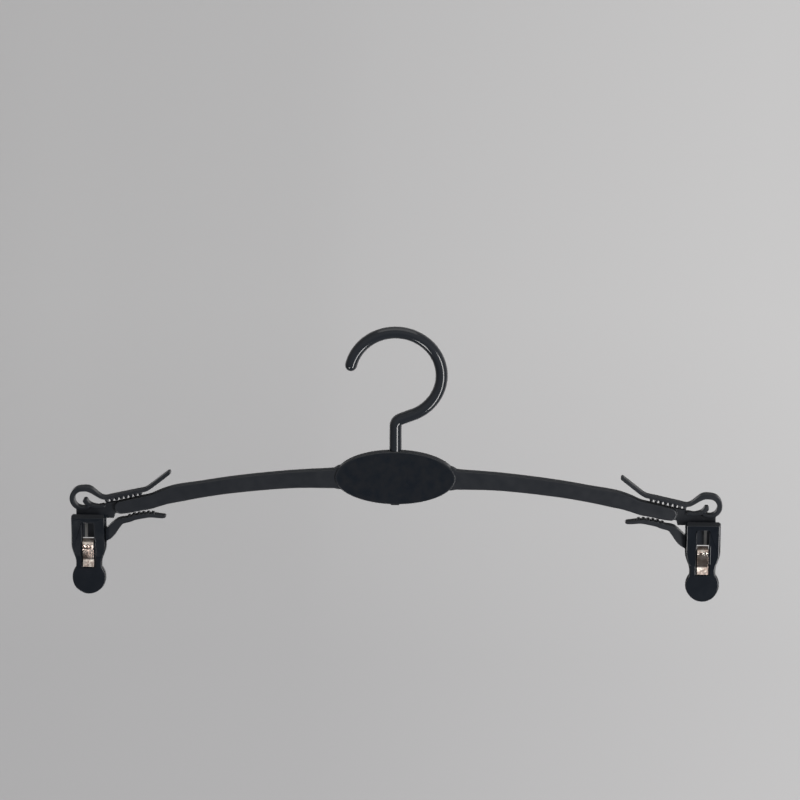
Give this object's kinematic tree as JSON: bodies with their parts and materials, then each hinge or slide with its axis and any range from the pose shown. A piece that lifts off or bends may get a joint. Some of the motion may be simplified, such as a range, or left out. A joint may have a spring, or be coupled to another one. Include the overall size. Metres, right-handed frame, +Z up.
{
  "type": "lingerie hanger",
  "caption": "Slim clip hanger for delicates: round hook, oval centre plate, curved arms, toothed gripping fingers with eyelet loops, and sprung clips.",
  "frame": {"origin": "the seat of the hook: the inner top of its ring, where a rail bears", "axes": "+X along the hanger towards the arm on the right as seen from the front, the front with the clips' levers faces -Y, +Z up"},
  "size_m": [0.28, 0.0101, 0.1184],
  "materials": {
    "black_plastic": "semi-gloss moulded black plastic, satin on the arms and the plate",
    "strip_metal": "bright nickel-plated spring strip with a warm tint"
  },
  "bodies": {
    "base": {"hanger_body": "black_plastic", "left_clip_spring": "strip_metal", "right_clip_spring": "strip_metal"},
    "left_clip": {"left_clip_lever": "black_plastic"},
    "right_clip": {"right_clip_lever": "black_plastic"}
  },
  "joints": [
    {"name": "left_clip_hinge", "type": "hinge", "parent": "base", "child": "left_clip", "pos_m": [-0.1319, -0.0016, -0.0899], "axis": [-1, 0, 0], "range_deg": [0, 10], "stiffness_Nm_per_rad": 0.12, "springref_deg": -20.05, "deforming": ["left_clip_spring"]},
    {"name": "right_clip_hinge", "type": "hinge", "parent": "base", "child": "right_clip", "pos_m": [0.1319, -0.0016, -0.0899], "axis": [-1, 0, 0], "range_deg": [0, 10], "stiffness_Nm_per_rad": 0.12, "springref_deg": -20.05, "deforming": ["right_clip_spring"]}
  ]
}
